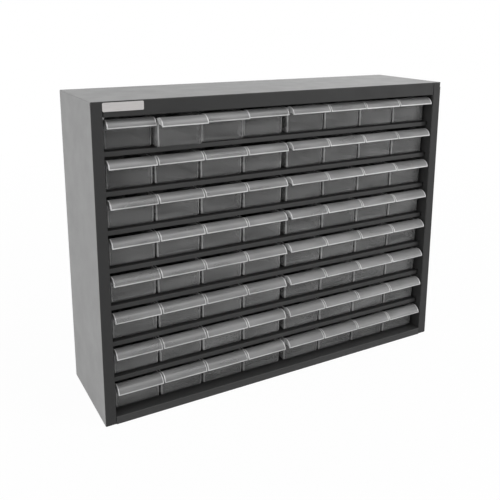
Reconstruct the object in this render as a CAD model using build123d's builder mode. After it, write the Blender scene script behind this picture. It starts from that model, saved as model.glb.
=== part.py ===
"""Small-parts cabinet: a folded steel case with rows of clear drawers that slide out to the front.

Millimetres. X runs to the right, Y to the back and Z up. The origin is the middle of the case's
underside, so the front face of the case lies at Y = -case_depth / 2.
"""

from build123d import *
import os

# ---------------------------------------------------------------- case, outside
case_width = 508.0
case_depth = 136.0
case_height = 390.0
case_sheet = 1.0  # thickness of the folded wrapper
bend_radius = 1.5  # outside radius of its folds
side_flange = 13.0  # width of the two front flanges
top_flange = 17.5  # height of the front flange under the top
rear_flange = 10.0  # width of the flange round the back
seam = 1.2  # open seam where two flanges meet
relief_width = 1.7  # bend relief, cut through the fold in the top corners
relief_height = 5.5

# ---------------------------------------------------------------- inner sheets
inner_sheet = 0.8  # liners, shelves, deck, divider and back panel
seat_gap = 0.3  # play between pieces that hook or slot together
base_height = 9.8  # top of the deck that carries the lowest row
shelf_setback = 11.0  # from the case's front to the shelves' front
shelf_hem = 5.5  # height of the fold along the shelves' front and back
shelf_edge_radius = 1.1  # outside radius of that fold
shelf_end_gap = 1.5  # between a shelf's end and the liner
tab_length = 30.0  # shelf tabs that hook into the liners
tab_reach = 3.0  # how far they pass through
tab_margin = 18.0  # from the shelf's front and back to its tabs
hook_length = 3.0  # narrow hook behind each end of the shelves' front fold
hook_slot_length = 6.0  # its slot in the liner
hook_slot_height = 6.6
divider_setback = 30.0  # from the case's front to the centre divider

# ---------------------------------------------------------------- wall fixing holes
fixing_hole_radius = 3.0
fixing_spacing = 406.4  # between the two holes
fixing_drop = 40.0  # below the case's top

# ---------------------------------------------------------------- drawers
rows = 8
columns = 8
middle_gap = 7.0  # between the two groups of columns
side_gap = 4.3  # between the outer drawers and the liners
drawer_gap = 2.0  # between neighbouring drawers, at the rim
drawer_wall = 1.5
drawer_floor = 1.6
drawer_draft = 0.5  # how much narrower each side is at the bottom
front_foot_setback = 15.5  # front wall from the case's front, at the bottom
front_rim_setback = 14.5  # and at the rim
front_corner = 2.0  # sloped corners of the front wall
foot_chamfer = 4.2  # slope along the front wall's foot
back_gap = 1.0  # between a closed drawer and the fold along the shelves' back
rim_drop = 6.0  # from the hem above down to the drawer's rim
lip_radius = 11.1  # finger lip, outside radius of its arc
lip_wall = 1.4
lip_start = 56.0  # degrees, where the arc leaves the front wall
lip_sweep = 111.0
lip_flats = 3  # along its underside
lip_centre_setback = 9.5  # arc's centre from the case's front
lip_centre_drop = 9.0  # and below the rim
lip_gap = 1.6  # between neighbouring lips
stop_width = 24.0  # stop tab on the back wall
stop_overlap = 2.4  # how far it reaches behind the hem above
pulled_out = {(1, 2): 13.0, (1, 3): 5.0}  # row, column: drawers that stand a little open
bank_rows = 2  # lowest rows, whose drawers are kept in banks of half a row
half_row = columns // 2

# ---------------------------------------------------------------- name plate
plate_width = 47.0
plate_height = 10.0
plate_sheet = 0.6
plate_radius = 1.5
plate_drop = 1.5  # below the case's top

# ---------------------------------------------------------------- worked-out places
front = -case_depth / 2
opening_half = case_width / 2 - side_flange
opening_top = case_height - top_flange
panel_front = case_depth / 2 - case_sheet - inner_sheet
row_pitch = (opening_top + shelf_hem - base_height) / rows
column_pitch = (opening_half - side_gap - middle_gap / 2 + drawer_gap) / (columns / 2)
drawer_width = column_pitch - drawer_gap
rim_height = row_pitch - shelf_hem - rim_drop
stop_height = row_pitch - shelf_hem + stop_overlap
shelf_front = front + shelf_setback
shelf_back = panel_front - seat_gap
drawer_back = shelf_back - inner_sheet - back_gap
divider_front = front + divider_setback
halving = (divider_front + shelf_back) / 2  # where shelf and divider slots meet


def shelf_level(row):
    """Top of the sheet that carries a row, counted from the top row, 1."""
    return base_height + (rows - row) * row_pitch


def column_centre(column):
    """Middle of a column, counted from the left, 1."""
    place = column - (columns + 1) / 2
    steps_out = abs(place) - 0.5
    reach = middle_gap / 2 + drawer_width / 2 + steps_out * column_pitch
    return reach if place > 0 else -reach


def save(piece, name):
    """Labels one finished piece and writes it as its own file."""
    piece.part.label = name
    export_step(piece.part, f"parts/{name}.step")


os.makedirs("parts", exist_ok=True)
shelf_levels = [shelf_level(row) for row in range(1, rows)]
front_plane = Plane.XZ.offset(-front)  # looks out of the case's front

# ---------------------------------------------------------------- casing
with BuildPart() as casing:
    with BuildSketch(front_plane):
        with Locations((0, case_height / 2)):
            Rectangle(case_width, case_height)
    extrude(amount=-case_depth)
    fillet(casing.edges().filter_by(Axis.Y), bend_radius)
    front_folds = casing.faces().sort_by(Axis.Y)[0].outer_wire().edges().sort_by(Axis.Z)[1:]
    fillet(front_folds, bend_radius)
    # the hollow between the front and rear flanges
    with BuildSketch(front_plane.offset(-case_sheet)):
        with Locations((0, case_height / 2)):
            Rectangle(case_width - 2 * case_sheet, case_height - 2 * case_sheet)
    extrude(amount=-(case_depth - 2 * case_sheet), mode=Mode.SUBTRACT)
    # the front opening runs down to the bench: the deck's own flange closes it there
    with BuildSketch(front_plane):
        with Locations((0, opening_top / 2)):
            Rectangle(2 * opening_half, opening_top)
    extrude(amount=-case_sheet, mode=Mode.SUBTRACT)
    with BuildSketch(Plane.XZ.offset(-case_depth / 2)):
        with Locations((0, case_height / 2)):
            Rectangle(case_width - 2 * rear_flange, case_height - 2 * rear_flange)
    extrude(amount=case_sheet, mode=Mode.SUBTRACT)
    # the top flange's fold back into the case, which stops the top row's drawers
    with BuildSketch(front_plane):
        with Locations((0, opening_top + case_sheet / 2)):
            Rectangle(2 * (opening_half - shelf_end_gap), case_sheet)
    extrude(amount=-(shelf_setback + case_sheet))
    # seams between the top flange and the side flanges
    seam_height = top_flange - bend_radius
    with BuildSketch(front_plane):
        with Locations((0, opening_top + seam_height / 2)):
            with GridLocations(2 * opening_half - seam, 0, 2, 1):
                Rectangle(seam, seam_height)
    extrude(amount=-case_sheet, mode=Mode.SUBTRACT)
    # bend reliefs, cut through the folds just under the top
    with BuildSketch(front_plane):
        with Locations((0, case_height - bend_radius - relief_height / 2)):
            with GridLocations(case_width - relief_width, 0, 2, 1):
                Rectangle(relief_width, relief_height)
    extrude(amount=-relief_width, mode=Mode.SUBTRACT)
save(casing, "casing")

# ---------------------------------------------------------------- back panel
with BuildPart() as back_panel:
    with BuildSketch(Plane.XZ.offset(-(panel_front + inner_sheet))):
        with Locations((0, case_height / 2)):
            Rectangle(
                case_width - 2 * (case_sheet + seat_gap),
                case_height - 2 * (case_sheet + seat_gap),
            )
        with Locations((0, case_height - fixing_drop)):
            with GridLocations(fixing_spacing, 0, 2, 1):
                Circle(fixing_hole_radius, mode=Mode.SUBTRACT)
    extrude(amount=inner_sheet)
save(back_panel, "back_panel")

# ---------------------------------------------------------------- deck under the lowest row
with BuildPart() as base_deck:
    deck_half = opening_half - seam / 2
    with BuildSketch(Plane.YZ.offset(-deck_half)):
        with BuildLine():
            Polyline(
                (front, 0),
                (front, base_height),
                (shelf_back, base_height),
                (shelf_back, case_sheet),
                (shelf_back - inner_sheet, case_sheet),
                (shelf_back - inner_sheet, base_height - inner_sheet),
                (front + case_sheet, base_height - inner_sheet),
                (front + case_sheet, 0),
                close=True,
            )
        make_face()
    extrude(amount=2 * deck_half)
    fillet(base_deck.edges().filter_by(Axis.X).group_by(Axis.Z)[-1].sort_by(Axis.Y)[0], shelf_edge_radius)
save(base_deck, "base_deck")

# ---------------------------------------------------------------- slotted liners
tab_places = (
    shelf_front + tab_margin + tab_length / 2,
    shelf_back - tab_margin - tab_length / 2,
)
channel = case_width / 2 - case_sheet - seat_gap - opening_half  # width of the liner's folds
liner_bottom = case_sheet + seat_gap
liner_top = case_height - case_sheet - seat_gap


hook_place = shelf_front + shelf_edge_radius + hook_length / 2


def slot_places(side, places, drop):
    """Middles of one liner's slots, each that far below the top of its shelf."""
    x = side * (opening_half + inner_sheet / 2)
    return [(x, y, level - drop) for level in shelf_levels for y in places]


for name, side in (("left_liner", -1), ("right_liner", 1)):
    with BuildPart() as liner:
        with BuildSketch(Plane.XY.offset(liner_bottom)):
            inner = side * opening_half
            outer = side * (opening_half + channel)
            web = side * (opening_half + inner_sheet)
            liner_front = front + case_sheet
            with BuildLine():
                Polyline(
                    (inner, liner_front),
                    (outer, liner_front),
                    (outer, liner_front + inner_sheet),
                    (web, liner_front + inner_sheet),
                    (web, shelf_back - inner_sheet),
                    (outer, shelf_back - inner_sheet),
                    (outer, shelf_back),
                    (inner, shelf_back),
                    close=True,
                )
            make_face()
        extrude(amount=liner_top - liner_bottom)
        with Locations(*slot_places(side, tab_places, inner_sheet / 2)):
            Box(
                inner_sheet + 2 * seat_gap,
                tab_length + 2 * seat_gap,
                inner_sheet + 2 * seat_gap,
                mode=Mode.SUBTRACT,
            )
        with Locations(*slot_places(side, [hook_place], shelf_hem / 2)):
            Box(
                inner_sheet + 2 * seat_gap,
                hook_slot_length,
                hook_slot_height,
                mode=Mode.SUBTRACT,
            )
    save(liner, name)

# ---------------------------------------------------------------- shelves between the rows
with BuildPart() as shelves:
    shelf_half = opening_half - shelf_end_gap
    tab_half = opening_half + inner_sheet + tab_reach
    for level in shelf_levels:
        with BuildSketch(Plane.YZ.offset(-shelf_half)):
            with BuildLine():
                Polyline(
                    (shelf_front, level - shelf_hem),
                    (shelf_front, level),
                    (shelf_back, level),
                    (shelf_back, level - shelf_hem),
                    (shelf_back - inner_sheet, level - shelf_hem),
                    (shelf_back - inner_sheet, level - inner_sheet),
                    (shelf_front + inner_sheet, level - inner_sheet),
                    (shelf_front + inner_sheet, level - shelf_hem),
                    close=True,
                )
            make_face()
        extrude(amount=2 * shelf_half)
        with Locations(*[(0, y, level - inner_sheet / 2) for y in tab_places]):
            Box(2 * tab_half, tab_length, inner_sheet)
        with Locations((0, hook_place, level - inner_sheet / 2)):
            Box(2 * tab_half, hook_length, inner_sheet)
    front_edges = shelves.edges().filter_by(Axis.X).group_by(Axis.Y)[0].sort_by(Axis.Z)
    fillet(front_edges[1::2], shelf_edge_radius)  # the upper one of each shelf's two
    # each shelf is slotted from behind to cross the centre divider
    for level in shelf_levels:
        with Locations((0, (halving + shelf_back) / 2, level - shelf_hem / 2)):
            Box(
                inner_sheet + 2 * seat_gap,
                shelf_back - halving,
                shelf_hem,
                mode=Mode.SUBTRACT,
            )
save(shelves, "shelves")

# ---------------------------------------------------------------- centre divider
with BuildPart() as centre_divider:
    divider_bottom = base_height + seat_gap
    divider_height = liner_top - divider_bottom
    with Locations((0, (divider_front + shelf_back) / 2, divider_bottom + divider_height / 2)):
        Box(inner_sheet, shelf_back - divider_front, divider_height)
    for level in shelf_levels:
        with Locations((0, (divider_front + halving) / 2, level - inner_sheet / 2)):
            Box(
                inner_sheet,
                halving - divider_front + 2 * seat_gap,
                inner_sheet + 2 * seat_gap,
                mode=Mode.SUBTRACT,
            )
save(centre_divider, "centre_divider")

# ---------------------------------------------------------------- name plate, bare
with BuildPart() as name_plate:
    with BuildSketch(front_plane):
        plate_x = -opening_half + plate_width / 2
        plate_z = case_height - plate_drop - plate_height / 2
        with Locations((plate_x, plate_z)):
            RectangleRounded(plate_width, plate_height, plate_radius)
    extrude(amount=plate_sheet)
save(name_plate, "name_plate")

# ---------------------------------------------------------------- one drawer
# It is drawn where it stands in a bay, with X = 0 in its middle and Z = 0 on its shelf.
foot = seat_gap


def tray_block(inset, bottom, slope):
    """Block with a sloped foot along its leaning front and sides that draw in downwards."""
    foot_front = front + front_foot_setback + inset
    rim_front = front + front_rim_setback + inset
    back = drawer_back - inset
    half_rim = drawer_width / 2 - inset
    half_foot = half_rim - drawer_draft
    with BuildPart() as block:
        with BuildSketch(Plane.YZ.offset(-half_rim)):
            with BuildLine():
                Polyline(
                    (foot_front, bottom),
                    (rim_front, rim_height),
                    (back, rim_height),
                    (back, bottom),
                    close=True,
                )
            make_face()
        extrude(amount=2 * half_rim)
        with BuildSketch(Plane.XZ.offset(-back)):
            with BuildLine():
                Polyline(
                    (-half_foot, bottom),
                    (half_foot, bottom),
                    (half_rim, rim_height),
                    (-half_rim, rim_height),
                    close=True,
                )
            make_face()
        extrude(amount=back - rim_front, mode=Mode.INTERSECT)
        chamfer(block.faces().sort_by(Axis.Z)[0].edges().sort_by(Axis.Y)[0], slope)
    return block.part


tray = tray_block(0, foot, foot_chamfer)
hollow = tray_block(drawer_wall, foot + drawer_floor, foot_chamfer - drawer_wall)

with BuildPart() as drawer:
    add(tray)
    corner_edges = [
        edge
        for edge in drawer.edges().filter_by(Axis.X, reverse=True)
        if edge.center().Y < front + front_foot_setback + foot_chamfer
    ]
    chamfer(corner_edges, front_corner)
    add(hollow, mode=Mode.SUBTRACT)
    # finger lip: an arc that leaves the front wall's rim and curls down in front of it
    lip_half = (column_pitch - lip_gap) / 2
    with BuildSketch(Plane.YZ.offset(-lip_half)):
        with BuildLine():
            centre = (front + lip_centre_setback, rim_height - lip_centre_drop)
            upper = CenterArc(centre, lip_radius, lip_start, lip_sweep)
            inner_radius = lip_radius - lip_wall
            under = CenterArc(centre, inner_radius, lip_start, lip_sweep, mode=Mode.PRIVATE)
            flats = [under @ (corner / lip_flats) for corner in range(lip_flats + 1)]
            Polyline(upper @ 0, *flats, upper @ 1)
        make_face()
    extrude(amount=2 * lip_half)
    # stop tab on the back wall, which meets the hem above when the drawer is pulled out
    with Locations((0, drawer_back - drawer_wall / 2, (rim_height + stop_height) / 2)):
        Box(stop_width, drawer_wall, stop_height - rim_height)


def drawer_place(row, column):
    """Where a drawer stands at rest: in its bay, or a little open."""
    return (column_centre(column), -pulled_out.get((row, column), 0), shelf_level(row))


for row in range(1, rows - bank_rows + 1):
    for column in range(1, columns + 1):
        with BuildPart() as placed:
            with Locations(drawer_place(row, column)):
                add(drawer.part)
        save(placed, f"drawer_row{row}_col{column}")

for row in range(rows - bank_rows + 1, rows + 1):
    for side_name, first in (("left", 1), ("right", half_row + 1)):
        with BuildPart() as bank:
            with Locations(*[drawer_place(row, first + step) for step in range(half_row)]):
                add(drawer.part)
        save(bank, f"drawer_bank_row{row}_{side_name}")
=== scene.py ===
"""Looks of the small-parts cabinet: satin powder-coated sheet steel with clear polystyrene drawers.

Everything is in metres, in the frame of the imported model: X to the right, Y to the back, Z up.
"""

import math

import bmesh
import bpy
from mathutils import Matrix, Vector


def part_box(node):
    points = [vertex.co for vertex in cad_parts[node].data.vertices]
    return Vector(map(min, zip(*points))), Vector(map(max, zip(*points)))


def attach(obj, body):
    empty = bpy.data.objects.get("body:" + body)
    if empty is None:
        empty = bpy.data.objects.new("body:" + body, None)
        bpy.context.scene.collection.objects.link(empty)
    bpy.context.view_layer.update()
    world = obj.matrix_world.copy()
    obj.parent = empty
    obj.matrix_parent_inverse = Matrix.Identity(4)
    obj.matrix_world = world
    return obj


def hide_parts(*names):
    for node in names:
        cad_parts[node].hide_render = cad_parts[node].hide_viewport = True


MM = 0.001
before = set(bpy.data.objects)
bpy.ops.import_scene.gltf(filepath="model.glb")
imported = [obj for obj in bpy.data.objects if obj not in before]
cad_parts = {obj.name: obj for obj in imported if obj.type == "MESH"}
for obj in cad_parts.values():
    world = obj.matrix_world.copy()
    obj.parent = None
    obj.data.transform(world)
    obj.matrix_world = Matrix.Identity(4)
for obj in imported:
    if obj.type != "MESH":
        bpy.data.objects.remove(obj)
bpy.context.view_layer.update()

# ---------------------------------------------------------------- sizes that the frame gives
case_low, case_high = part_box("casing")
CASE_FRONT = case_low.y
CASE_TOP = case_high.z

# ---------------------------------------------------------------- finishes
COATING_IOR = 1.4  # polyester powder coat, taken a little low for its satin face
POLYSTYRENE_IOR = 1.59

# sizes of the patterns, in millimetres
SPRAY_CLOUD = 60.0
HAND_SMEAR = 22.0
ORANGE_PEEL = 1.8  # a real peel is finer than the render shows, so this one is a little coarser
FLOW_LINE = 12.0
MOULD_RIPPLE = 4.0  # left by the polished mould, and as coarse as it needs to be to show
BRUSH_STREAK = 0.4  # real strokes are finer than the render shows, so these are coarser
FOLD_FROM, FOLD_TO = 0.5, 0.9  # behind the case's front, where the darker front, a painted shade, gives way to the sides' grey
FRONT_LIGHT_FROM, FRONT_LIGHT_TO = 18.0, 48.0  # behind the case's front, where the painted light near the drawers' fronts fades


# ---------------------------------------------------------------- helpers
def linear(hex_colour):
    """Turns an sRGB hex colour into the linear RGBA that the shaders take."""
    parts = [int(hex_colour[i : i + 2], 16) / 255 for i in (1, 3, 5)]
    return (*[p / 12.92 if p <= 0.04045 else ((p + 0.055) / 1.055) ** 2.4 for p in parts], 1.0)


def toned(hex_colour, share):
    """The same colour, made this much lighter or darker."""
    return (*[share * part for part in linear(hex_colour)[:3]], 1.0)


def add_node(tree, kind, settings=None, inputs=None):
    """Adds one shader node with its settings; an input is a value or the socket that feeds it."""
    made = tree.nodes.new(kind)
    for name, value in (settings or {}).items():
        setattr(made, name, value)
    for name, value in (inputs or {}).items():
        if isinstance(value, bpy.types.NodeSocket):
            tree.links.new(value, made.inputs[name])
        else:
            made.inputs[name].default_value = value
    return made


def blank_material(name):
    """A material with nothing in it but its output."""
    material = bpy.data.materials.new(name)
    material.use_nodes = True
    material.node_tree.nodes.clear()
    return material, material.node_tree, material.node_tree.nodes.new("ShaderNodeOutputMaterial")


def spots_per_metre(size_mm):
    """Scale of a noise whose spots are about this big."""
    return 1000.0 / size_mm


# ---------------------------------------------------------------- powder-coated steel
def powder_coat(name, colour, painted_front_shade=None):
    """Powder-coated sheet steel: sprayed dry and baked, so it is satin, with a fine orange peel.

    The spray leaves clouds in tone and gloss, and handling leaves a few duller smears. With a
    painted_front_shade, the frame that faces the front is darker, up to its fold: painted shade, for
    the little light that falls on the front.
    """
    material, tree, output = blank_material(name)
    place = add_node(tree, "ShaderNodeTexCoord").outputs["Object"]
    clouds = add_node(
        tree, "ShaderNodeTexNoise", inputs={"Vector": place, "Scale": spots_per_metre(SPRAY_CLOUD), "Detail": 4.0}
    )
    peel = add_node(
        tree, "ShaderNodeTexNoise", inputs={"Vector": place, "Scale": spots_per_metre(ORANGE_PEEL), "Detail": 2.0}
    )
    smears = add_node(
        tree, "ShaderNodeTexNoise", inputs={"Vector": place, "Scale": spots_per_metre(HAND_SMEAR), "Detail": 5.0}
    )
    tone = add_node(
        tree,
        "ShaderNodeMix",
        {"data_type": "RGBA"},
        {0: clouds.outputs["Fac"], 6: toned(colour, 0.93), 7: toned(colour, 1.07)},
    ).outputs[2]
    # painted shade: the frame that faces the front is darker, for the little light that falls on it
    if painted_front_shade:
        front_painted_shade_tone = add_node(
            tree,
            "ShaderNodeMix",
            {"data_type": "RGBA"},
            {0: clouds.outputs["Fac"], 6: toned(painted_front_shade, 0.9), 7: toned(painted_front_shade, 1.1)},
        ).outputs[2]
        depth = add_node(tree, "ShaderNodeSeparateXYZ", inputs={"Vector": place}).outputs["Y"]
        behind = add_node(
            tree,
            "ShaderNodeMapRange",
            inputs={
                "Value": depth,
                "From Min": CASE_FRONT + FOLD_FROM * MM,
                "From Max": CASE_FRONT + FOLD_TO * MM,
            },
        ).outputs[0]
        both = {0: behind, 6: front_painted_shade_tone, 7: tone}
        tone = add_node(tree, "ShaderNodeMix", {"data_type": "RGBA"}, both).outputs[2]
    gloss = add_node(
        tree,
        "ShaderNodeMapRange",
        inputs={"Value": smears.outputs["Fac"], "From Min": 0.3, "From Max": 0.7, "To Min": 0.46, "To Max": 0.58},
    ).outputs[0]
    bump = add_node(
        tree, "ShaderNodeBump", inputs={"Strength": 0.15, "Distance": 0.05 * MM, "Height": peel.outputs["Fac"]}
    )
    shader = add_node(
        tree,
        "ShaderNodeBsdfPrincipled",
        inputs={"Base Color": tone, "Roughness": gloss, "IOR": COATING_IOR, "Normal": bump.outputs[0]},
    )
    tree.links.new(shader.outputs[0], output.inputs["Surface"])
    return material


# ---------------------------------------------------------------- polystyrene
def moulded_polystyrene(name, shades, cover, gloss, painted_light_at_front=1.0):
    """Thin clear polystyrene, injection moulded, so each face only veils what lies behind it.

    Flow lines run across the drawer, and the milky ones are duller. Shades are the veil's two tones,
    cover is how much it hides face on and edge on, gloss is the roughness of clear and of milky lines,
    and painted_light_at_front is how much more it hides at the front than further back: painted light,
    a paler band where light comes in at the drawer's front and falls on its sides and floor.
    """
    material, tree, output = blank_material(name)
    place = add_node(tree, "ShaderNodeTexCoord").outputs["Object"]
    apart = add_node(tree, "ShaderNodeObjectInfo").outputs["Random"]
    moved = add_node(tree, "ShaderNodeVectorMath", {"operation": "ADD"}, {0: place, 1: apart}).outputs[0]
    along = add_node(tree, "ShaderNodeMapping", inputs={"Vector": moved, "Scale": (0.2, 1.0, 1.0)}).outputs[0]
    flow = add_node(
        tree, "ShaderNodeTexNoise", inputs={"Vector": along, "Scale": spots_per_metre(FLOW_LINE), "Detail": 1.5}
    ).outputs["Fac"]
    ripple = add_node(
        tree, "ShaderNodeTexNoise", inputs={"Vector": moved, "Scale": spots_per_metre(MOULD_RIPPLE), "Detail": 1.0}
    ).outputs["Fac"]
    tint = add_node(
        tree, "ShaderNodeMix", {"data_type": "RGBA"}, {0: flow, 6: linear(shades[0]), 7: linear(shades[1])}
    ).outputs[2]
    dull = add_node(
        tree,
        "ShaderNodeMapRange",
        inputs={"Value": flow, "From Min": 0.3, "From Max": 0.7, "To Min": gloss[0], "To Max": gloss[1]},
    ).outputs[0]
    slant = add_node(tree, "ShaderNodeLayerWeight", inputs={"Blend": 0.4}).outputs["Facing"]
    veil = add_node(
        tree, "ShaderNodeMapRange", inputs={"Value": slant, "To Min": cover[0], "To Max": cover[1]}
    ).outputs[0]
    haze = add_node(
        tree,
        "ShaderNodeMapRange",
        inputs={"Value": flow, "From Min": 0.3, "From Max": 0.7, "To Min": 0.75, "To Max": 1.25},
    ).outputs[0]
    # painted light: the veil thickens near the drawer's front, a paler band where light comes in there
    depth = add_node(tree, "ShaderNodeSeparateXYZ", inputs={"Vector": place}).outputs["Y"]
    painted_light_near_front = add_node(
        tree,
        "ShaderNodeMapRange",
        {"interpolation_type": "SMOOTHSTEP"},
        {
            "Value": depth,
            "From Min": FRONT_LIGHT_FROM * MM,
            "From Max": FRONT_LIGHT_TO * MM,
            "To Min": painted_light_at_front,
            "To Max": 1.0,
        },
    ).outputs[0]
    haze = add_node(tree, "ShaderNodeMath", {"operation": "MULTIPLY"}, {0: haze, 1: painted_light_near_front}).outputs[0]
    hidden = add_node(
        tree, "ShaderNodeMath", {"operation": "MULTIPLY", "use_clamp": True}, {0: veil, 1: haze}
    ).outputs[0]
    bump = add_node(tree, "ShaderNodeBump", inputs={"Strength": 0.1, "Distance": 0.03 * MM, "Height": ripple})
    shader = add_node(
        tree,
        "ShaderNodeBsdfPrincipled",
        inputs={
            "Base Color": tint,
            "Roughness": dull,
            "IOR": POLYSTYRENE_IOR,
            "Alpha": hidden,
            "Normal": bump.outputs[0],
        },
    )
    tree.links.new(shader.outputs[0], output.inputs["Surface"])
    return material


def satin_aluminium():
    """Satin-anodised aluminium sheet, brushed along its length, so it has fine pale streaks."""
    material, tree, output = blank_material("satin_anodised_aluminium")
    place = add_node(tree, "ShaderNodeTexCoord").outputs["Object"]
    along = add_node(tree, "ShaderNodeMapping", inputs={"Vector": place, "Scale": (0.03, 1.0, 1.0)}).outputs[0]
    streaks = add_node(
        tree, "ShaderNodeTexNoise", inputs={"Vector": along, "Scale": spots_per_metre(BRUSH_STREAK), "Detail": 4.0}
    )
    tint = add_node(
        tree,
        "ShaderNodeMix",
        {"data_type": "RGBA"},
        {0: streaks.outputs["Fac"], 6: linear("#aeabaa"), 7: linear("#c6c3c2")},
    ).outputs[2]
    gloss = add_node(
        tree, "ShaderNodeMapRange", inputs={"Value": streaks.outputs["Fac"], "To Min": 0.36, "To Max": 0.52}
    ).outputs[0]
    shader = add_node(
        tree, "ShaderNodeBsdfPrincipled", inputs={"Base Color": tint, "Roughness": gloss, "Metallic": 0.4}
    )
    tree.links.new(shader.outputs[0], output.inputs["Surface"])
    return material


# grey satin coat outside; the frame round the drawers is charcoal, up to its fold: painted shade, for the little
# light that falls on the front
case_coat = powder_coat("powder_coated_steel_grey", "#8c8c8c", painted_front_shade="#242424")
# charcoal satin coat on the shelves and all else inside: painted shade, for the shade inside the case
inner_coat_painted_shade = powder_coat("powder_coat_shade_painted_inside", "#333333")
# the drawers' front walls: clear, so they show the dark tray behind them, with a faint milkiness
clear_walls = moulded_polystyrene("moulded_clear_polystyrene", ("#747474", "#a4a4a4"), (0.24, 0.56), (0.1, 0.2))
# the finger lips: thick and matted by the mould, so they look frosted
lip_plastic = moulded_polystyrene("moulded_frosted_polystyrene", ("#7e7e7e", "#949494"), (0.6, 0.8), (0.32, 0.42))
# the lips' ends and lower edge: painted glow, nearly white, for the light that leaves the plastic there
painted_edge_glow = moulded_polystyrene("polystyrene_glow_painted_on_edges", ("#c0c0c0", "#d0d0d0"), (0.85, 0.95), (0.2, 0.3))
# the trays' rounded corners and rims: painted highlight, paler, for the light they gather as the edges do, but
# less of it
painted_corner_highlight = moulded_polystyrene(
    "polystyrene_highlight_painted_on_corners", ("#b4b4b4", "#c4c4c4"), (0.6, 0.78), (0.15, 0.25)
)
# sides and floor: clear, and milkier near the front: painted light, a paler band where light comes in at the
# drawer's front
tray_plastic = moulded_polystyrene(
    "polystyrene_light_painted_near_front", ("#969696", "#b0b0b0"), (0.14, 0.34), (0.12, 0.22), painted_light_at_front=2.2
)
# the bare plate on the top flange
plate_metal = satin_aluminium()


# ---------------------------------------------------------------- sheet-metal pieces
def finish_node(name, material):
    """Gives a carried-over CAD piece its material."""
    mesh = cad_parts[name].data
    mesh.materials.clear()
    mesh.materials.append(material)


for sheet in ("casing", "back_panel"):
    finish_node(sheet, case_coat)
for sheet in ("base_deck", "left_liner", "right_liner", "shelves", "centre_divider"):
    finish_node(sheet, inner_coat_painted_shade)
finish_node("name_plate", plate_metal)

# ---------------------------------------------------------------- one drawer
# Sizes in millimetres. X = 0 is its middle, Y = 0 the case's front and Z = 0 its shelf.
RIM_HALF = 28.4  # half the tray's width at its rim
FOOT_HALF = 27.9  # and at its foot
RIM_SETBACK = 14.5  # from the case's front to the tray's front wall at its rim
FOOT_SETBACK = 15.5  # and at its foot
DRAWER_BACK = 132.1
FOOT = 0.3  # play between the shelf and the tray's bottom
RIM = 34.525  # height of the tray's walls
WALL = 1.5
FLOOR = 1.6
CORNER = 2.2  # radius of the upright front corners
REAR_CORNER = 1.5
INNER_CORNER = 0.25  # least radius of the corners inside the tray
FOOT_RADIUS = 4.2
SIDE_FOOT_RADIUS = 2.0
RIM_RADIUS = 0.4
LIP_HALF = 28.6
LIP_CENTRE = (9.5, RIM - 9.0)
LIP_RADIUS = 11.1
LIP_WALL = 1.4
LIP_ARC = (56.0, 167.0)  # degrees, from the front wall round to the tip
EDGE_ARC = 3.5  # degrees of the arc, at its tip, that get the painted glow, as its ends do
LIP_END = 1.2  # length at each end of the lip that gets the painted glow, as its end face does
CHEEK = 1.5  # thickness of the crescents that stiffen the lip's ends
CHEEK_DEPTH = 6.0  # how far they reach in, half way round
STOP_HALF = 12.0
STOP_TOP = 42.925
STOP_EDGE = 0.4  # sloped edges along the top of the stop tab
CREASE = 35.0  # degrees, above which two faces meet in a sharp edge


def tray_loop(height, inset, side_inset):
    """One level line round the tray: a rounded rectangle, set in from the drafted outside."""
    share = (height - FOOT) / (RIM - FOOT)
    half = FOOT_HALF + (RIM_HALF - FOOT_HALF) * share - side_inset
    near = FOOT_SETBACK + (RIM_SETBACK - FOOT_SETBACK) * share + inset
    far = DRAWER_BACK - side_inset
    corners = (
        (half, near, -90.0, CORNER),
        (half, far, 0.0, REAR_CORNER),
        (-half, far, 90.0, REAR_CORNER),
        (-half, near, 180.0, CORNER),
    )
    points = []
    for x, y, first_angle, full_radius in corners:
        radius = max(full_radius - side_inset, INNER_CORNER)
        centre_x = x - math.copysign(radius, x)
        centre_y = y + (radius if y == near else -radius)
        for step in range(7):
            angle = math.radians(first_angle + 15.0 * step)
            points.append((centre_x + radius * math.cos(angle), centre_y + radius * math.sin(angle), height))
    return points


def tray_mesh():
    """The tray as one closed shell: rounded foot, drafted walls, softened rim and hollow inside."""
    levels = []
    for step in range(7):  # outside of the foot
        turn = math.radians(15.0 * step)
        rise = 1 - math.cos(turn)
        pull_in = 1 - math.sin(turn)
        levels.append((FOOT + FOOT_RADIUS * rise, FOOT_RADIUS * pull_in, SIDE_FOOT_RADIUS * pull_in))
    levels.append((RIM - RIM_RADIUS, 0.0, 0.0))
    levels.append((RIM - 0.3 * RIM_RADIUS, 0.3 * RIM_RADIUS, 0.3 * RIM_RADIUS))
    levels.append((RIM, RIM_RADIUS, RIM_RADIUS))
    levels.append((RIM, WALL - RIM_RADIUS, WALL - RIM_RADIUS))
    levels.append((RIM - 0.3 * RIM_RADIUS, WALL - 0.3 * RIM_RADIUS, WALL - 0.3 * RIM_RADIUS))
    levels.append((RIM - RIM_RADIUS, WALL, WALL))
    inner_foot, inner_side = FOOT_RADIUS - WALL, 1.0
    for step in range(6, -1, -1):  # inside of the foot
        turn = math.radians(15.0 * step)
        rise = 1 - math.cos(turn)
        pull_in = 1 - math.sin(turn)
        levels.append((FOOT + FLOOR + inner_foot * rise, WALL + inner_foot * pull_in, WALL + inner_side * pull_in))
    shell = bmesh.new()
    rings = [[shell.verts.new(point) for point in tray_loop(*level)] for level in levels]
    for lower, upper in zip(rings, rings[1:]):
        for i in range(len(lower)):
            j = (i + 1) % len(lower)
            shell.faces.new((lower[i], lower[j], upper[j], upper[i]))
    shell.faces.new(list(reversed(rings[0])))
    shell.faces.new(rings[-1])
    return shell


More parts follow.
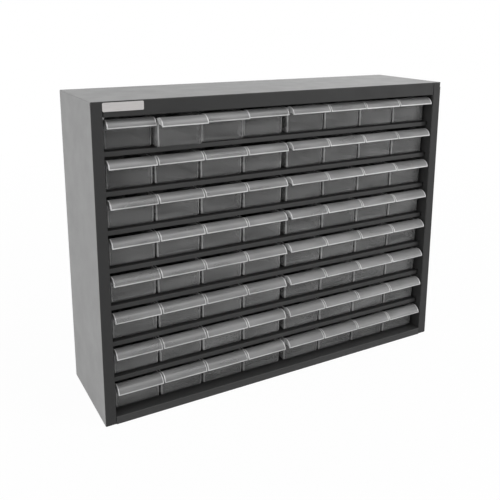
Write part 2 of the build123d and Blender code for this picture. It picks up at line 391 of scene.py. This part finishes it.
def swept_bar(profile, *stations):
    """A closed outline in Y and Z carried straight across, from the first station to the last."""
    bar = bmesh.new()
    rings = [[bar.verts.new((x, y, z)) for y, z in profile] for x in stations]
    for left, right in zip(rings, rings[1:]):
        for here in range(len(profile)):
            after = (here + 1) % len(profile)
            bar.faces.new((left[here], left[after], right[after], right[here]))
    bar.faces.new(list(reversed(rings[0])))
    bar.faces.new(rings[-1])
    return bar


def lip_profile():
    """Section of the finger lip: an arc of even wall with a full round bead along its tip."""
    centre_y, centre_z = LIP_CENTRE
    first, last = LIP_ARC
    steps = 14
    outer, inner = [], []
    for step in range(steps + 2):
        angle = math.radians(last if step > steps else first + (last - EDGE_ARC - first) * step / steps)
        outer.append((centre_y + LIP_RADIUS * math.cos(angle), centre_z + LIP_RADIUS * math.sin(angle)))
        inner.append(
            (
                centre_y + (LIP_RADIUS - LIP_WALL) * math.cos(angle),
                centre_z + (LIP_RADIUS - LIP_WALL) * math.sin(angle),
            )
        )
    # the bead: half a circle that closes the arc at its tip
    tip = math.radians(last)
    mid_y = centre_y + (LIP_RADIUS - LIP_WALL / 2) * math.cos(tip)
    mid_z = centre_z + (LIP_RADIUS - LIP_WALL / 2) * math.sin(tip)
    bead = []
    for step in range(1, 6):
        turn = tip + math.radians(30.0 * step)
        bead.append((mid_y + LIP_WALL / 2 * math.cos(turn), mid_z + LIP_WALL / 2 * math.sin(turn)))
    return outer + bead + list(reversed(inner))


def cheek_profile():
    """Section of the crescent that stiffens each end of the lip, thickest half way round."""
    centre_y, centre_z = LIP_CENTRE
    first, last = LIP_ARC
    steps = 12
    outer, inner = [], []
    for step in range(steps + 1):
        share = step / steps
        angle = math.radians(first + (last - first) * share)
        for radius, line in (
            (LIP_RADIUS - 0.2, outer),
            (LIP_RADIUS - LIP_WALL + 0.1 - CHEEK_DEPTH * math.sin(math.pi * share), inner),
        ):
            line.append((centre_y + radius * math.cos(angle), centre_z + radius * math.sin(angle)))
    return outer + list(reversed(inner))


def stop_profile():
    """Section of the stop tab that stands on the back wall."""
    near, far, root = DRAWER_BACK - WALL, DRAWER_BACK - 0.01, RIM - 3.0
    return [
        (near, root),
        (far, root),
        (far, STOP_TOP - STOP_EDGE),
        (DRAWER_BACK - STOP_EDGE, STOP_TOP),
        (near + STOP_EDGE, STOP_TOP),
        (near, STOP_TOP - STOP_EDGE),
    ]


def as_object(shell, name):
    """Turns a shell into an object of its own, with its faces turned outward."""
    bmesh.ops.recalc_face_normals(shell, faces=shell.faces)
    mesh = bpy.data.meshes.new(name)
    shell.to_mesh(mesh)
    shell.free()
    made = bpy.data.objects.new(name, mesh)
    bpy.context.scene.collection.objects.link(made)
    return made


DRAWER_PLASTICS = (clear_walls, lip_plastic, painted_edge_glow, painted_corner_highlight, tray_plastic)
SQUARE_ON = 0.9  # least share of a face's normal along an axis that it faces squarely


def plastic_of(face):
    """The plastic that a face of the drawer looks to be made of; its edges and corners get a painted glow and
    highlight.
    """
    middle, facing = face.calc_center_median(), face.normal
    turn = math.degrees(math.atan2(middle.z - LIP_CENTRE[1], middle.y - LIP_CENTRE[0]))
    from_centre = math.hypot(middle.y - LIP_CENTRE[0], middle.z - LIP_CENTRE[1])
    in_front_part = middle.y < FOOT_SETBACK + FOOT_RADIUS
    on_lip = middle.y < RIM_SETBACK and from_centre < LIP_RADIUS + 0.1 and turn > 0
    on_rim = facing.z > 0.7 and middle.z > RIM - RIM_RADIUS
    on_back_wall = middle.y > DRAWER_BACK - WALL - 0.1 and abs(facing.y) > SQUARE_ON
    if on_lip:
        # the lips' ends and tip get the painted glow
        at_end = abs(facing.x) > SQUARE_ON or abs(middle.x) > LIP_HALF - LIP_END
        at_tip = turn > LIP_ARC[1] - EDGE_ARC
        return painted_edge_glow if at_end or at_tip else lip_plastic
    # the upright front corners and the rims get the painted highlight
    if in_front_part and facing.y < -0.15:
        upright_corner = 0.2 < abs(facing.x) < 0.98 and facing.z > -0.5
        return painted_corner_highlight if upright_corner else clear_walls
    if on_rim:
        return painted_corner_highlight
    if on_back_wall:
        return lip_plastic
    return clear_walls if in_front_part else tray_plastic


def moulded_drawer():
    """Joins tray, lip, cheeks and stop tab into one moulding and returns its mesh, in metres."""
    tray = as_object(tray_mesh(), "tray_shell")
    lip_stations = (-LIP_HALF, LIP_END - LIP_HALF, LIP_HALF - LIP_END, LIP_HALF)
    bars = [
        as_object(swept_bar(lip_profile(), *lip_stations), "lip_bar"),
        as_object(swept_bar(stop_profile(), -STOP_HALF, STOP_HALF), "stop_bar"),
        as_object(swept_bar(cheek_profile(), -LIP_HALF, CHEEK - LIP_HALF), "left_cheek"),
        as_object(swept_bar(cheek_profile(), LIP_HALF - CHEEK, LIP_HALF), "right_cheek"),
    ]
    for bar in bars:
        union = tray.modifiers.new("join_" + bar.name, "BOOLEAN")
        union.operation = "UNION"
        union.solver = "EXACT"
        union.object = bar
    graph = bpy.context.evaluated_depsgraph_get()
    mesh = bpy.data.meshes.new_from_object(tray.evaluated_get(graph))
    for scaffold in [tray] + bars:
        bpy.data.objects.remove(scaffold)
    mesh.name = "moulded_drawer"
    moulding = bmesh.new()
    moulding.from_mesh(mesh)
    bmesh.ops.remove_doubles(moulding, verts=moulding.verts, dist=0.001)
    bmesh.ops.dissolve_degenerate(moulding, dist=0.001, edges=moulding.edges)
    for face in moulding.faces:
        face.material_index = DRAWER_PLASTICS.index(plastic_of(face))
        face.smooth = True
    moulding.to_mesh(mesh)
    moulding.free()
    mesh.transform(Matrix.Scale(MM, 4))
    for plastic in DRAWER_PLASTICS:
        mesh.materials.append(plastic)
    mesh.set_sharp_from_angle(angle=math.radians(CREASE))
    return mesh


drawer_moulding = moulded_drawer()


def drawer_number(node_name):
    """Row and column in a drawer node's name; a bank gives its four columns."""
    words = node_name.split("_")
    row = int(words[-2].removeprefix("row"))
    if words[-1] in ("left", "right"):
        first = 1 if words[-1] == "left" else 5
        return row, [first, first + 1, first + 2, first + 3]
    return row, [int(words[-1].removeprefix("col"))]


def fit_drawers():
    """Stands a moulding where each CAD drawer is and lets it ride on that drawer's body."""
    for node_name in sorted(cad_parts):
        if not node_name.startswith("drawer"):
            continue
        row, columns = drawer_number(node_name)
        low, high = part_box(node_name)
        width = 2 * LIP_HALF * MM
        pitch = (high.x - low.x - width) / max(len(columns) - 1, 1)
        for step, column in enumerate(columns):
            piece = bpy.data.objects.new(f"moulded_drawer_row{row}_col{column}", drawer_moulding)
            bpy.context.scene.collection.objects.link(piece)
            piece.location = (
                low.x + width / 2 + step * pitch,
                high.y - DRAWER_BACK * MM,
                high.z - STOP_TOP * MM,
            )
            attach(piece, node_name)
            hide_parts(node_name)


fit_drawers()


# ---------------------------------------------------------------- studio
AIR_LIGHT = 0.40  # strength of the even light from all round
# place, side in metres and power in watts of each square soft box
SOFT_BOXES = {
    "key_box": ((0.7, -1.0, 2.3), 1.0, 18.0),
    "right_box": ((1.8, -1.9, 0.9), 0.7, 16.0),
    "left_box": ((-2.3, -0.6, 0.9), 1.6, 21.0),
    "back_box": ((1.7, 1.4, 1.9), 1.2, 8.0),
}
# the photograph's camera: lens in millimetres, shift in frame widths, place in metres, turn in degrees
PHOTO_LENS = 47.746
PHOTO_SHIFT = (-0.02576, -0.17397)  # the photograph is cropped away from its middle
PHOTO_PLACE = (-0.44398, -0.77049, 0.48139)
PHOTO_TURN = (-29.861, 12.527, 0.410)  # round the upright, down and sideways
FLOOR_REACH = 6.0
SHADE_FROM, SHADE_TO = 0.45, 1.6  # metres from the middle, between which the floor's shade fades out
PLAIN_SHARE = 0.97  # how plain white the floor is under the cabinet, where its shadow still shows


def seen_directly(tree):
    """1 for a ray that shows the backdrop: straight from the camera, mirrored, or through plastic."""
    ray = add_node(tree, "ShaderNodeLightPath").outputs
    shown = add_node(
        tree, "ShaderNodeMath", {"operation": "MAXIMUM"}, {0: ray["Is Camera Ray"], 1: ray["Is Glossy Ray"]}
    )
    return add_node(
        tree, "ShaderNodeMath", {"operation": "MAXIMUM"}, {0: shown.outputs[0], 1: ray["Is Transmission Ray"]}
    ).outputs[0]


def paper_floor():
    """White paper: it takes the cabinet's shadow close by and runs out to plain white further off."""
    mesh = bpy.data.meshes.new("paper_floor")
    corners = [(x * FLOOR_REACH, y * FLOOR_REACH, 0) for x, y in ((-1, -1), (1, -1), (1, 1), (-1, 1))]
    mesh.from_pydata(corners, [], [(0, 1, 2, 3)])
    floor = bpy.data.objects.new("paper_floor", mesh)
    bpy.context.scene.collection.objects.link(floor)
    material, tree, output = blank_material("white_paper")
    place = add_node(tree, "ShaderNodeTexCoord").outputs["Object"]
    away = add_node(tree, "ShaderNodeVectorMath", {"operation": "LENGTH"}, {0: place}).outputs["Value"]
    plain = add_node(
        tree,
        "ShaderNodeMapRange",
        inputs={"Value": away, "From Min": SHADE_FROM, "From Max": SHADE_TO, "To Min": PLAIN_SHARE},
    ).outputs[0]
    shown = {0: seen_directly(tree), 1: plain}
    share = add_node(tree, "ShaderNodeMath", {"operation": "MULTIPLY"}, shown).outputs[0]
    paper = add_node(tree, "ShaderNodeBsdfDiffuse", inputs={"Color": linear("#f4f4f4")}).outputs[0]
    white = add_node(tree, "ShaderNodeEmission", inputs={"Color": (1, 1, 1, 1), "Strength": 1.0}).outputs[0]
    mixed = add_node(tree, "ShaderNodeMixShader", inputs={0: share, 1: paper, 2: white}).outputs[0]
    tree.links.new(mixed, output.inputs["Surface"])
    mesh.materials.append(material)


def studio_air():
    """Even light from all round, which looks plain white."""
    world = bpy.data.worlds.new("studio_air")
    bpy.context.scene.world = world
    world.use_nodes = True
    tree = world.node_tree
    tree.nodes.clear()
    strength = add_node(
        tree, "ShaderNodeMapRange", inputs={"Value": seen_directly(tree), "To Min": AIR_LIGHT, "To Max": 1.0}
    ).outputs[0]
    air = add_node(tree, "ShaderNodeBackground", inputs={"Color": (1, 1, 1, 1), "Strength": strength}).outputs[0]
    out = add_node(tree, "ShaderNodeOutputWorld")
    tree.links.new(air, out.inputs["Surface"])


def soft_boxes():
    """Large square lamps, all turned to the middle of the cabinet."""
    middle = Vector((0, 0, CASE_TOP / 2))
    for name, (place, side, power) in SOFT_BOXES.items():
        lamp = bpy.data.lights.new(name, "AREA")
        lamp.shape = "SQUARE"
        lamp.size = side
        lamp.energy = power
        holder = bpy.data.objects.new(name, lamp)
        holder.location = place
        holder.rotation_mode = "QUATERNION"
        holder.rotation_quaternion = (middle - Vector(place)).to_track_quat("-Z", "Y")
        bpy.context.scene.collection.objects.link(holder)


def photo_camera():
    """The photograph's view, solved from the case's edges."""
    camera = bpy.data.cameras.new("photo_camera")
    camera.sensor_width = 36.0
    camera.lens = PHOTO_LENS
    camera.shift_x, camera.shift_y = PHOTO_SHIFT
    camera.clip_start = 0.01
    camera.clip_end = 50.0
    holder = bpy.data.objects.new("photo_camera", camera)
    bpy.context.scene.collection.objects.link(holder)
    azimuth, elevation, roll = (math.radians(angle) for angle in PHOTO_TURN)
    holder.location = PHOTO_PLACE
    ahead = Vector(
        (-math.sin(azimuth) * math.cos(elevation), math.cos(azimuth) * math.cos(elevation), -math.sin(elevation))
    )
    right = Vector((math.cos(azimuth), math.sin(azimuth), 0.0))
    up = right.cross(ahead)
    turned_right = math.cos(roll) * right + math.sin(roll) * up
    turned_up = math.cos(roll) * up - math.sin(roll) * right
    holder.rotation_mode = "QUATERNION"
    holder.rotation_quaternion = Matrix((turned_right, turned_up, -ahead)).transposed().to_quaternion()
    bpy.context.scene.camera = holder


paper_floor()
studio_air()
soft_boxes()
photo_camera()
bpy.context.scene.view_settings.view_transform = "Standard"
